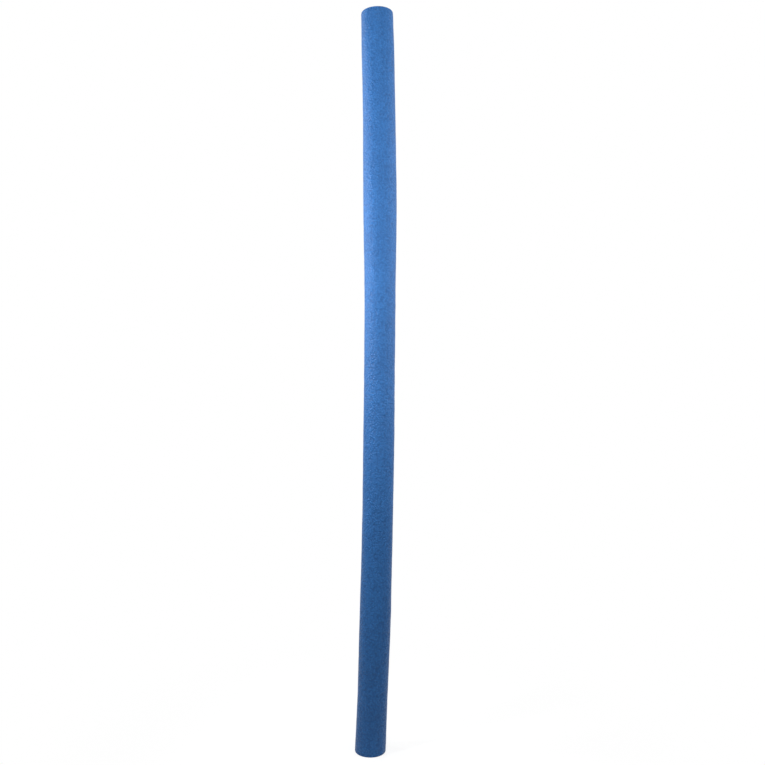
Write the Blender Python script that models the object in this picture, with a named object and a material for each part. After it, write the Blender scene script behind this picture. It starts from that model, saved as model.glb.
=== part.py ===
"""Pool noodle: one extruded length of closed-cell foam with a round hole from end to end.

Metres, +Z up. It stands on its lower end. The centres of the two cut ends lie on one vertical line, and
between them the tube bows out towards +X. The origin is on the surface that it stands on, under the
middle of its outline.
"""

import math

import bmesh
import bpy
from mathutils import Matrix, Vector

# Driving sizes
LENGTH = 1.5  # from the centre of one cut end to the centre of the other
OUTER_DIAMETER = 0.065  # the size that the tube is made to
BORE_DIAMETER = 0.020  # the hole through its middle
BOW = 0.0117  # how far the middle stands off the straight line between the ends
RIM_ROUNDING = 0.0010  # softened edge round each cut end and each mouth of the hole

# Shape of the bow: 2 is a parabola, and more keeps the middle straighter and turns the ends in faster
BOW_POWER = 2.3

# The foam swells and thins a little as it leaves the die. Each row is a swell or a neck: its place as a
# share of the length, from the lower end, and its width as a share of the outer diameter.
THICKNESS_SHARES = (
    (0.00, 0.965),
    (0.07, 0.943),
    (0.17, 0.981),
    (0.27, 0.963),
    (0.44, 0.975),
    (0.51, 0.963),
    (0.60, 0.973),
    (0.75, 1.047),
    (0.89, 1.018),
    (0.95, 1.022),
    (1.00, 0.997),
)

# The most of the foam's wall that a rounded rim may take
MOST_ROUNDING_SHARE = 0.25

# Faceting
SIDES = 40  # round the tube and round the hole
STEPS = 36  # along the tube
ROUNDING_SEGMENTS = 2
SMOOTH_BELOW = math.radians(40)  # edges that turn less than this are shaded smooth

# Blue foam with a dull, slightly waxy skin
FOAM_COLOUR = (0.034, 0.120, 0.390, 1.0)
FOAM_ROUGHNESS = 0.55
FOAM_METALLIC = 0.0


def eased(rows, share):
    """The value at this share, going smoothly from row to row and level at each of them."""
    for (start, low), (end, high) in zip(rows, rows[1:]):
        if share <= end:
            part = (share - start) / (end - start)
            return low + (high - low) * part * part * (3 - 2 * part)
    return rows[-1][1]


def outer_diameter(share):
    return OUTER_DIAMETER * eased(THICKNESS_SHARES, share)


def section(share):
    """Where the tube's cross-section at this share of the length lies, and how it is turned."""
    side = 2 * share - 1
    offset = BOW * (1 - abs(side) ** BOW_POWER)
    centre = Matrix.Translation(Vector((offset, 0, LENGTH * share)))
    if share == 0:
        return centre  # the lower end is cut level, to stand on
    rise = -2 * BOW * BOW_POWER * math.copysign(abs(side) ** (BOW_POWER - 1), side)
    return centre @ Matrix.Rotation(math.atan2(rise, LENGTH), 4, "Y")


def add_ring(foam, share, diameter):
    """The corners of one cross-section of the outer skin or of the hole, in order round it."""
    circle = bmesh.ops.create_circle(foam, segments=SIDES, radius=diameter / 2, matrix=section(share))
    return circle["verts"]


def add_band(foam, ring, next_ring):
    """A band of faces from one ring to the next. Returns it."""
    corners = zip(ring, ring[1:] + ring[:1], next_ring[1:] + next_ring[:1], next_ring)
    return [foam.faces.new(four) for four in corners]


def foam_material():
    material = bpy.data.materials.new("blue_foam")
    material.use_nodes = True
    shader = material.node_tree.nodes["Principled BSDF"]
    shader.inputs["Base Color"].default_value = FOAM_COLOUR
    shader.inputs["Roughness"].default_value = FOAM_ROUGHNESS
    shader.inputs["Metallic"].default_value = FOAM_METALLIC
    material.diffuse_color = FOAM_COLOUR
    return material


def foam_tube():
    """The whole noodle: up its skin, in across the upper cut, down the hole and out across the lower cut."""
    foam = bmesh.new()
    shares = [step / STEPS for step in range(STEPS + 1)]
    skin = [add_ring(foam, share, outer_diameter(share)) for share in shares]
    hole = [add_ring(foam, share, BORE_DIAMETER) for share in shares]
    for rings in (skin, hole[::-1]):
        for ring, next_ring in zip(rings, rings[1:]):
            add_band(foam, ring, next_ring)
    cuts = set(add_band(foam, skin[-1], hole[-1]) + add_band(foam, hole[0], skin[0]))

    # A rim is an edge with a cut end on one side only
    rims = [edge for edge in foam.edges if len(cuts.intersection(edge.link_faces)) == 1]
    wall = (min(outer_diameter(0), outer_diameter(1)) - BORE_DIAMETER) / 2
    bmesh.ops.bevel(
        foam,
        geom=rims,
        offset=min(RIM_ROUNDING, MOST_ROUNDING_SHARE * wall),
        segments=ROUNDING_SEGMENTS,
        profile=0.5,
        affect="EDGES",
    )
    bmesh.ops.recalc_face_normals(foam, faces=foam.faces)

    # The middle of the outline goes over the origin
    across = [corner.co.x for corner in foam.verts]
    middle = (min(across) + max(across)) / 2
    bmesh.ops.translate(foam, verts=foam.verts, vec=Vector((-middle, 0, 0)))

    mesh = bpy.data.meshes.new("foam_tube")
    foam.to_mesh(mesh)
    foam.free()
    mesh.shade_smooth()
    mesh.set_sharp_from_angle(angle=SMOOTH_BELOW)
    mesh.materials.append(foam_material())
    tube = bpy.data.objects.new("foam_tube", mesh)
    bpy.context.scene.collection.objects.link(tube)
    return tube


def clear_scene():
    for old in list(bpy.data.objects):
        bpy.data.objects.remove(old, do_unlink=True)


clear_scene()
noodle = foam_tube()
print("foam tube:", len(noodle.data.polygons), "faces,", [round(size, 4) for size in noodle.dimensions], "m")
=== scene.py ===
# Pool noodle: the foam tube's own surface, lit and seen as in the photograph. For Blender 4.5.
import math

import bmesh
import bpy
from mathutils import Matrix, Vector


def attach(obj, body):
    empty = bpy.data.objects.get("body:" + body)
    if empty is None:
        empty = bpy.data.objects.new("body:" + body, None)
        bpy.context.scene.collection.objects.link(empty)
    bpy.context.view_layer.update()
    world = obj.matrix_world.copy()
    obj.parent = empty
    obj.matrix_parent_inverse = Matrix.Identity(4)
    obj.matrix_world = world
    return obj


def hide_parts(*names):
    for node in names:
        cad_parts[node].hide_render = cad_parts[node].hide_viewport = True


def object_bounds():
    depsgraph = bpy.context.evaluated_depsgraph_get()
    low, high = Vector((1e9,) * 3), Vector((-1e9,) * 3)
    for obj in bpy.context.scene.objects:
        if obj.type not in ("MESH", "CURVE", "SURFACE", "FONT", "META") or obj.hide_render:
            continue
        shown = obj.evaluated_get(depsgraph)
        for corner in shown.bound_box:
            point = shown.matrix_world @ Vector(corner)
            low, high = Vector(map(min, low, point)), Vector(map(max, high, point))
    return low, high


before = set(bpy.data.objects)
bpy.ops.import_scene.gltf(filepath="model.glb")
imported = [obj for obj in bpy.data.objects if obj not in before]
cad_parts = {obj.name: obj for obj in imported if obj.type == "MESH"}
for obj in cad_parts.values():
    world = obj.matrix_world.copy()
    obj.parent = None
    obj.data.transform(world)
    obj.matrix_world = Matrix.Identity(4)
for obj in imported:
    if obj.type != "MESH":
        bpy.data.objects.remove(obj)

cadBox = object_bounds()
mm = 0.001  # a millimetre, in metres


# Colour and node helpers

def fromHex(code):
    # an sRGB hex colour as the linear values that shaders take
    shares = [int(code[at:at + 2], 16) / 255 for at in (1, 3, 5)]
    return [s / 12.92 if s <= 0.04045 else ((s + 0.055) / 1.055) ** 2.4 for s in shares] + [1.0]


def addNode(tree, kind, settings=None, **sockets):
    # one node: settings by name, and each socket takes a value or another node's output. A socket goes by
    # its name, or by its number, as in _0, where several have the same name
    node = tree.nodes.new(kind)
    for name, value in (settings or {}).items():
        setattr(node, name, value)
    for name, value in sockets.items():
        socket = node.inputs[int(name[1:])] if name[0] == "_" else node.inputs[name.replace("_", " ")]
        if isinstance(value, bpy.types.NodeSocket):
            tree.links.new(value, socket)
        else:
            socket.default_value = value
    return node


def sumOf(tree, terms):
    # adds up outputs, each times its own factor
    total = 0.0
    for output, factor in terms:
        total = addNode(tree, "ShaderNodeMath", {"operation": "MULTIPLY_ADD"}, _0=output, _1=factor,
                        _2=total).outputs["Value"]
    return total


def newMaterial(name):
    made = bpy.data.materials.new(name)
    made.use_nodes = True
    made.node_tree.nodes.clear()
    return made, made.node_tree


# Finishes

foamFinish = {
    "deep": "#24558D",  # blue of the skin where the foam is densest, and painted shade in the dips between its bumps
    "pale": "#2F6BAC",  # where larger cells lie under it, and on the tops of the bumps, against the painted shade in their dips
    "wall": "#6295CC",  # cut cell walls, which scatter more light
    "pit": "#2B5F9E",  # the shaded inside of a cut cell
    "cell": 1.8 * mm,  # real cells are about 1.2 mm, drawn a little wider so that they show
    "cellBlur": 0.4,  # how far cells melt into each other, from 0 to 1
    "pebble": 3.8 * mm,  # width of the soft bumps that the skin puckers into as it cools
    "pebbleBlur": 0.25,
    "pebbleStray": 2.0 * mm,  # how far the bumps stray from a plain cell pattern
    "pebbleDip": 0.6,  # the pebble pattern's value in the dips, from 0 on top of a bump
    "peel": 8.0 * mm,  # wavelength of the slower unevenness under them
    "cloud": 60 * mm,  # patches of slightly denser foam
    "streak": (7 * mm, 160 * mm),  # faint lines that the die leaves: how far apart, and how long
    # what each pattern adds to the skin's lightness, and the sums at which it is deep and pale. Cloud, peel
    # and streak are the foam's own tone. Pebble and cell darken the dips between bumps and cells, which is
    # painted shade
    "palenessWithDipShade": {"pebble": -1.2, "cell": -0.2, "peel": 0.4, "cloud": 0.8, "streak": 0.3},
    "deepAndPale": (-0.39, 0.61),
    # heights of the skin's relief, in millimetres. The first two patterns are highest in the dips, so their
    # heights are less than 0
    "relief": {"pebble": -1.15, "cell": -0.07, "peel": 0.75, "streak": 0.10},
    "roughness": (0.36, 0.50),  # on the bumps, and in the dips
    "ior": 1.5,
    "specular": 0.21,  # a soft polyolefin skin full of tiny cells throws back less than clear plastic
    # the cut: width of a cell wall's rounded edge as a share of a cell, then the share of pit colour and the
    # height in millimetres, each for the hollow of a cell and for the depth at which the knife opens it
    "wallEdge": 0.22,
    "pitShares": (0.5, 0.45),
    "cutRelief": (-0.40, -0.20),
    "cutRoughness": 0.75,
}


def foamSkinMaterial():
    # Closed-cell polyethylene foam, skinned over as it leaves the die: dull, a little waxy, finely pebbled
    f = foamFinish
    made, tree = newMaterial("polyethyleneFoamSkin")
    place = addNode(tree, "ShaderNodeTexCoord").outputs["Object"]
    stray = addNode(tree, "ShaderNodeTexNoise", Vector=place, Scale=1 / f["pebble"], Detail=1.0)
    strayed = addNode(tree, "ShaderNodeVectorMath", {"operation": "MULTIPLY_ADD"}, _0=stray.outputs["Color"],
                      _1=(f["pebbleStray"],) * 3, _2=place)
    across, along = f["streak"]
    stretched = addNode(tree, "ShaderNodeMapping", Vector=place, Scale=(1 / across, 1 / across, 1 / along))
    patterns = {
        "pebble": addNode(tree, "ShaderNodeTexVoronoi", {"feature": "SMOOTH_F1"},
                          Vector=strayed.outputs["Vector"], Scale=1 / f["pebble"],
                          Smoothness=f["pebbleBlur"]).outputs["Distance"],
        "cell": addNode(tree, "ShaderNodeTexVoronoi", {"feature": "SMOOTH_F1"}, Vector=place,
                        Scale=1 / f["cell"], Smoothness=f["cellBlur"]).outputs["Distance"],
        "peel": addNode(tree, "ShaderNodeTexNoise", Vector=place, Scale=1 / f["peel"],
                        Detail=1.0).outputs["Fac"],
        "cloud": addNode(tree, "ShaderNodeTexNoise", Vector=place, Scale=1 / f["cloud"],
                         Detail=2.0).outputs["Fac"],
        "streak": addNode(tree, "ShaderNodeTexNoise", Vector=stretched.outputs["Vector"], Scale=1.0,
                          Detail=1.0).outputs["Fac"],
    }
    # palest on the bumps, and darker in the dips between them, which is painted shade
    deep, pale = f["deepAndPale"]
    palenessWithDipShade = sumOf(tree, [(patterns[name], factor) for name, factor in f["palenessWithDipShade"].items()])
    share = addNode(tree, "ShaderNodeMapRange", Value=palenessWithDipShade, From_Min=deep, From_Max=pale)
    blue = addNode(tree, "ShaderNodeMix", {"data_type": "RGBA"}, Factor=share.outputs["Result"],
                   _6=fromHex(f["deep"]), _7=fromHex(f["pale"]))
    smooth, rough = f["roughness"]
    dull = addNode(tree, "ShaderNodeMapRange", Value=patterns["pebble"], From_Max=f["pebbleDip"],
                   To_Min=smooth, To_Max=rough)
    height = sumOf(tree, [(patterns[name], factor) for name, factor in f["relief"].items()])
    relief = addNode(tree, "ShaderNodeBump", Height=height, Strength=1.0, Distance=mm)
    shader = addNode(tree, "ShaderNodeBsdfPrincipled", Base_Color=blue.outputs["Result"],
                     Roughness=dull.outputs["Result"], IOR=f["ior"], Specular_IOR_Level=f["specular"],
                     Normal=relief.outputs["Normal"])
    addNode(tree, "ShaderNodeOutputMaterial", Surface=shader.outputs["BSDF"])
    return made


def foamCutMaterial():
    # The same foam sliced through: open cells with thin pale walls round shaded pits, no skin and no gloss
    f = foamFinish
    made, tree = newMaterial("polyethyleneFoamCut")
    place = addNode(tree, "ShaderNodeTexCoord").outputs["Object"]
    edge = addNode(tree, "ShaderNodeTexVoronoi", {"feature": "DISTANCE_TO_EDGE"}, Vector=place,
                   Scale=1 / f["cell"])
    hollow = addNode(tree, "ShaderNodeMapRange", {"interpolation_type": "SMOOTHSTEP"},
                     Value=edge.outputs["Distance"], From_Min=0.0, From_Max=f["wallEdge"]).outputs["Result"]
    # the knife opens each cell at another depth
    chance = addNode(tree, "ShaderNodeTexVoronoi", Vector=place, Scale=1 / f["cell"])
    depth = addNode(tree, "ShaderNodeSeparateColor", Color=chance.outputs["Color"]).outputs["Red"]
    pitness = sumOf(tree, zip((hollow, depth), f["pitShares"]))
    share = addNode(tree, "ShaderNodeMapRange", Value=pitness, From_Min=0.0, From_Max=sum(f["pitShares"]))
    blue = addNode(tree, "ShaderNodeMix", {"data_type": "RGBA"}, Factor=share.outputs["Result"],
                   _6=fromHex(f["wall"]), _7=fromHex(f["pit"]))
    height = sumOf(tree, zip((hollow, depth), f["cutRelief"]))
    relief = addNode(tree, "ShaderNodeBump", Height=height, Strength=1.0, Distance=mm)
    shader = addNode(tree, "ShaderNodeBsdfPrincipled", Base_Color=blue.outputs["Result"],
                     Roughness=f["cutRoughness"], IOR=f["ior"], Specular_IOR_Level=f["specular"],
                     Normal=relief.outputs["Normal"])
    addNode(tree, "ShaderNodeOutputMaterial", Surface=shader.outputs["BSDF"])
    return made


# The foam tube

foamTube = {
    "length": 1500 * mm,  # between the centres of the two cut ends
    "width": 65 * mm,  # the size that the tube is made to
    "hole": 20 * mm,
    "bow": 11.7 * mm,  # how far the middle stands off the straight line between the ends
    "bowPower": 2.3,  # 2 is a parabola, and more keeps the middle straighter
    # swells and necks: place along the length from the foot, and width there, as shares of length and width
    "swells": ((0.00, 0.965), (0.07, 0.943), (0.17, 0.981), (0.27, 0.963), (0.44, 0.975), (0.51, 0.963),
               (0.60, 0.973), (0.75, 1.047), (0.89, 1.018), (0.95, 1.022), (1.00, 0.997)),
    "rim": 1.0 * mm,  # softened edge of each cut
    "rimSegments": 2,
    "sides": 32,
    "rings": 46,  # of the outer skin, each placed by the bow and the swells
    "skinCuts": 2,  # further rings between each two of them
    "holeRings": 8,
    "cutRings": 3,  # rings across each cut end
    "smoothing": 2,  # levels of subdivision surface
    "cutFacing": 0.9,  # a face is part of a cut end if its normal points up or down at least this much
    # lumps of the skin: wavelength, and the full height of the noise, of which they use about a third
    "lumps": ((90 * mm, 0.7 * mm), (22 * mm, 0.25 * mm), (7 * mm, 0.16 * mm)),
    "fade": 6 * mm,  # the lumps fade out over this length towards each cut
    "cell": 2.4 * mm,  # a cut cell, drawn twice its real width so that it shows
    "pits": 0.40 * mm,  # depth of the cut cells
}


def swellAt(share):
    rows = foamTube["swells"]
    for (start, low), (end, high) in zip(rows, rows[1:]):
        if share <= end:
            part = (share - start) / (end - start)
            return low + (high - low) * part * part * (3 - 2 * part)
    return rows[-1][1]


def bowAt(share):
    # how far the middle of the tube stands off at this share of the length, and how much it leans there
    t = foamTube
    side = 2 * share - 1
    lean = -2 * t["bow"] * t["bowPower"] * math.copysign(abs(side) ** (t["bowPower"] - 1), side)
    return t["bow"] * (1 - abs(side) ** t["bowPower"]), math.atan2(lean, t["length"])


def pick(kind, wanted):
    # in edit mode, selects just the verts, edges or faces that pass a test
    mesh = bpy.context.object.data
    bpy.ops.mesh.select_mode(type={"verts": "VERT", "edges": "EDGE", "faces": "FACE"}[kind])
    bpy.ops.mesh.select_all(action="DESELECT")
    body = bmesh.from_edit_mesh(mesh)
    for part in getattr(body, kind):
        if wanted(part):
            part.select_set(True)
    body.select_flush_mode()
    bmesh.update_edit_mesh(mesh)


def fromAxis(point):
    # distance from the middle line of the bowed tube
    return math.hypot(point.x - bowAt(min(max(point.z / foamTube["length"], 0), 1))[0], point.y)


def isCut(face):
    # a face of one of the two cut ends
    return abs(face.normal.z) > foamTube["cutFacing"]


def applyModifier(piece, kind, **settings):
    modifier = piece.modifiers.new(kind.title(), kind)
    for name, value in settings.items():
        setattr(modifier, name, value)
    bpy.ops.object.modifier_apply(modifier=modifier.name)


def makeFoamTube(footX):
    t = foamTube
    sides, length = t["sides"], t["length"]
    # a subdivision surface runs inside its corners, so the corners stand out by this share
    outset = 3 / (2 + math.cos(2 * math.pi / sides))
    skin, hole = (t[name] / 2 * outset for name in ("width", "hole"))
    between = (skin + hole) / 2

    bpy.ops.object.select_all(action="DESELECT")
    bpy.ops.mesh.primitive_cylinder_add(vertices=sides, radius=skin, depth=length, end_fill_type="NGON",
                                        location=(0, 0, length / 2))
    tube = bpy.context.object
    tube.name = tube.data.name = "noodleFoam"
    bpy.ops.object.transform_apply(location=True, rotation=True, scale=True)

    # the hole: both caps inset, then bridged through the middle
    bpy.ops.object.mode_set(mode="EDIT")
    pick("faces", lambda face: len(face.verts) == sides)
    bpy.ops.mesh.inset(thickness=(skin - hole) * math.cos(math.pi / sides))
    bpy.ops.mesh.bridge_edge_loops()

    # rings along the hole and along the skin, each set to its width, its lean and its place on the bow
    for radius, rings in ((hole, t["holeRings"]), (skin, t["rings"])):
        step = length / rings
        pick("edges", lambda edge: edge.calc_length() > length / 2
             and abs(edge.verts[0].co.xy.length - radius) < mm)
        bpy.ops.mesh.subdivide(number_cuts=rings - 1)
        for ring in range(rings + 1):
            middle = Vector((0, 0, ring * step))
            offset, lean = bowAt(ring / rings)
            width = swellAt(ring / rings) if radius == skin else 1
            pick("verts", lambda corner: abs(corner.co.z - middle.z) < step / 4
                 and abs(corner.co.xy.length - radius) < mm)
            bpy.ops.transform.resize(value=(width, width, 1), center_override=middle)
            if ring > 0:  # the foot is cut level, to stand on
                # the operator counts its angle the other way round
                bpy.ops.transform.rotate(value=-lean, orient_axis="Y", center_override=middle)
            bpy.ops.transform.translate(value=(offset, 0, 0))

    # closer rings on the skin, rings across the cut ends, and the softened rims
    pick("edges", lambda edge: edge.calc_length() > length / t["rings"] / 2
         and min(fromAxis(corner.co) for corner in edge.verts) > between)
    bpy.ops.mesh.subdivide(number_cuts=t["skinCuts"])
    pick("edges", lambda edge: all(isCut(face) for face in edge.link_faces))
    bpy.ops.mesh.subdivide(number_cuts=t["cutRings"] - 1)
    pick("edges", lambda edge: sum(isCut(face) for face in edge.link_faces) == 1)
    bpy.ops.mesh.bevel(offset=t["rim"], segments=t["rimSegments"], profile=0.5, affect="EDGES")

    tube.data.materials.append(foamSkinMaterial())
    tube.data.materials.append(foamCutMaterial())
    pick("faces", isCut)
    tube.active_material_index = 1
    bpy.ops.object.material_slot_assign()
    bpy.ops.mesh.select_all(action="SELECT")
    bpy.ops.transform.translate(value=(footX, 0, 0))
    bpy.ops.object.mode_set(mode="OBJECT")
    applyModifier(tube, "SUBSURF", levels=t["smoothing"], render_levels=t["smoothing"])

    # the cut ends get a finer mesh for their open cells
    bpy.ops.object.mode_set(mode="EDIT")
    pick("faces", lambda face: face.material_index == 1)
    bpy.ops.mesh.subdivide(number_cuts=1)
    bpy.ops.object.mode_set(mode="OBJECT")
    addRelief(tube, footX)
    bpy.ops.object.shade_smooth()
    return tube


def addRelief(tube, footX):
    # lumps of the skin, and the pits of the cut cells
    t = foamTube
    mesh = tube.data
    cut = {corner for face in mesh.polygons if face.material_index == 1 for corner in face.vertices}
    plain = {corner for face in mesh.polygons if face.material_index == 0 for corner in face.vertices}
    between = (t["width"] + t["hole"]) / 4
    skinGroup = tube.vertex_groups.new(name="skin")
    cutGroup = tube.vertex_groups.new(name="cut")
    for corner in mesh.vertices:
        if corner.index in cut:
            if corner.index not in plain:
                cutGroup.add([corner.index], 1.0, "REPLACE")
        elif fromAxis(corner.co - Vector((footX, 0, 0))) > between:
            fromRim = min(corner.co.z, t["length"] - corner.co.z) - 2 * t["rim"]
            skinGroup.add([corner.index], min(max(fromRim / t["fade"], 0), 1), "REPLACE")
    for wavelength, height in t["lumps"]:
        lumps = bpy.data.textures.new("lumps", "CLOUDS")
        lumps.noise_scale = wavelength / 2
        lumps.noise_depth = 1
        applyModifier(tube, "DISPLACE", texture=lumps, strength=height, mid_level=0.5, vertex_group="skin")
    cells = bpy.data.textures.new("cells", "VORONOI")
    cells.noise_scale = t["cell"]
    cells.weight_1, cells.weight_2 = -1, 1  # the second nearest centre less the nearest: nothing on a wall
    applyModifier(tube, "DISPLACE", texture=cells, strength=-t["pits"], mid_level=0, vertex_group="cut")


print("foam tube ...")
footCorners = [corner.co.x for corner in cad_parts["foam_tube"].data.vertices if corner.co.z < mm]
middleX = (min(footCorners) + max(footCorners)) / 2  # where the middle of the foot stands
noodle = makeFoamTube(middleX)
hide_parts("foam_tube")
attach(noodle, "root")
print("  faces:", len(noodle.data.polygons))


# Floor, light and camera

studio = {
    "floorSize": 8.0,
    "paper": "#E4E4E4",
    "shadowRadius": 0.7,  # the paper takes shadows this far from the noodle, and is plain white beyond
    "shadowDepth": 0.20,  # the most that a shadow takes off its white
    "shadowLight": 0.72,  # light on the paper where nothing shades it
    "around": 0.12,  # plain light from everywhere
    "background": 1.0,  # white, where it is looked at
    # soft boxes round the noodle: degrees to the right of the camera's side, distance, height of the
    # middle, width and height in metres, and power in watts. The narrow ones rake over the skin and bring
    # its grain out
    "softBoxes": {
        "rearLeft": (-110, 0.65, 1.35, 0.06, 0.9, 3.0),
        "sideLeft": (-85, 0.65, 1.30, 0.06, 0.6, 1.2),
        "sideLow": (-85, 0.65, 0.92, 0.06, 0.2, 1.4),
        "keyLeft": (-57, 0.65, 1.30, 0.06, 0.6, 2.0),
        "keyLow": (-57, 0.65, 0.88, 0.06, 0.2, 2.2),
        "front": (4, 0.65, 1.12, 0.6, 1.0, 3.9),
        "fillRight": (68, 0.65, 1.12, 0.5, 1.0, 3.9),
        "rearRight": (105, 0.65, 1.20, 0.3, 0.9, 1.5),
        "back": (180, 1.10, 1.20, 0.5, 1.0, 6.0),
    },
    "overhead": (2.4, 0.6, 8.0),  # height, size and power of the one above
}


def whiteRays(tree):
    # 1 for the rays that look at the background: from the camera, mirrored, or let through
    path = addNode(tree, "ShaderNodeLightPath")
    either = addNode(tree, "ShaderNodeMath", {"operation": "MAXIMUM"}, _0=path.outputs["Is Camera Ray"],
                     _1=path.outputs["Is Glossy Ray"])
    return addNode(tree, "ShaderNodeMath", {"operation": "MAXIMUM"}, _0=either.outputs["Value"],
                   _1=path.outputs["Is Transmission Ray"]).outputs["Value"]


def makeFloor():
    s = studio
    bpy.ops.object.select_all(action="DESELECT")
    bpy.ops.mesh.primitive_plane_add(size=s["floorSize"], location=(0, 0, cadBox[0].z))
    floor = bpy.context.object
    floor.name = "floor"
    bpy.ops.object.transform_apply(location=True, rotation=True, scale=True)

    # Matt white paper. Where it is seen, a glow lifts it to the white around it, and gives way near the
    # noodle to the light that falls there, so that the shadow stays
    made, tree = newMaterial("matteWhitePaper")
    place = addNode(tree, "ShaderNodeTexCoord").outputs["Object"]
    scaled = addNode(tree, "ShaderNodeMapping", Vector=place, Scale=(1 / s["shadowRadius"],) * 3)
    inwards = addNode(tree, "ShaderNodeTexGradient", {"gradient_type": "SPHERICAL"},
                      Vector=scaled.outputs["Vector"])
    near = addNode(tree, "ShaderNodeMapRange", {"interpolation_type": "SMOOTHSTEP"},
                   Value=inwards.outputs["Fac"]).outputs["Result"]
    glow = addNode(tree, "ShaderNodeMath", {"operation": "MULTIPLY_ADD"}, _0=near, _1=-s["shadowDepth"],
                   _2=s["background"])
    share = addNode(tree, "ShaderNodeMath", {"operation": "MULTIPLY"}, _0=near,
                    _1=s["shadowDepth"] / s["shadowLight"])
    shaded = addNode(tree, "ShaderNodeBsdfDiffuse", Color=share.outputs["Value"])
    white = addNode(tree, "ShaderNodeEmission", Color=(1, 1, 1, 1), Strength=glow.outputs["Value"])
    seen = addNode(tree, "ShaderNodeAddShader", _0=shaded.outputs["BSDF"], _1=white.outputs["Emission"])
    paper = addNode(tree, "ShaderNodeBsdfDiffuse", Color=fromHex(s["paper"]))
    shader = addNode(tree, "ShaderNodeMixShader", _0=whiteRays(tree), _1=paper.outputs["BSDF"],
                     _2=seen.outputs["Shader"])
    addNode(tree, "ShaderNodeOutputMaterial", Surface=shader.outputs["Shader"])
    floor.data.materials.append(made)


def addSoftBox(name, sizes, place, turned):
    lamp = bpy.data.lights.new(name, "AREA")
    lamp.shape = "RECTANGLE"
    lamp.size, lamp.size_y, lamp.energy = sizes
    softBox = bpy.data.objects.new(name, lamp)
    bpy.context.scene.collection.objects.link(softBox)
    softBox.location = place
    softBox.rotation_euler = turned


def makeLight():
    s = studio
    world = bpy.data.worlds.new("plainStudio")
    world.use_nodes = True
    bpy.context.scene.world = world
    tree = world.node_tree
    tree.nodes.clear()
    around = addNode(tree, "ShaderNodeBackground", Color=(1, 1, 1, 1), Strength=s["around"])
    white = addNode(tree, "ShaderNodeBackground", Color=(1, 1, 1, 1), Strength=s["background"])
    both = addNode(tree, "ShaderNodeMixShader", _0=whiteRays(tree), _1=around.outputs["Background"],
                   _2=white.outputs["Background"])
    addNode(tree, "ShaderNodeOutputWorld", Surface=both.outputs["Shader"])
    for name, (degrees, distance, height, wide, tall, watts) in s["softBoxes"].items():
        turn = math.radians(degrees)
        addSoftBox(name, (wide, tall, watts), (distance * math.sin(turn), -distance * math.cos(turn), height),
                   (math.pi / 2, 0, turn))
    height, side, watts = s["overhead"]
    addSoftBox("overhead", (side, side, watts), (0, 0, height), (0, 0, 0))


photoView = {
    "side": 765,  # pixels
    "topEnd": (377.06, 13.6),  # middle of each cut end, in pixels from the upper left corner
    "footEnd": (370.27, 750.3),
    "distance": 1.55,  # metres from the tube's middle line, by the curve of its two ends
    "sensor": 36.0,  # millimetres
}


def makeCamera(footX):
    v = photoView
    (highX, highY), (lowX, lowY) = v["topEnd"], v["footEnd"]
    pixelsPerMetre = math.hypot(highX - lowX, lowY - highY) / foamTube["length"]
    data = bpy.data.cameras.new("photoCamera")
    data.sensor_width = v["sensor"]
    data.lens = pixelsPerMetre * v["distance"] / v["side"] * v["sensor"]
    camera = bpy.data.objects.new("photoCamera", data)
    bpy.context.scene.collection.objects.link(camera)
    # rolled so that the noodle leans as in the photograph
    camera.rotation_euler = (math.pi / 2, -math.atan2(highX - lowX, lowY - highY), 0)
    # moved off the noodle's middle, so that this lands where it does in the photograph
    right = (v["side"] - highX - lowX) / 2 / pixelsPerMetre
    up = (highY + lowY - v["side"]) / 2 / pixelsPerMetre
    middle = Vector((footX, 0, foamTube["length"] / 2))
    camera.location = middle + camera.rotation_euler.to_matrix() @ Vector((right, up, v["distance"]))
    bpy.context.scene.camera = camera


print("floor ...")
makeFloor()
print("light ...")
makeLight()
print("camera ...")
makeCamera(middleX)
bpy.context.scene.view_settings.view_transform = "Standard"
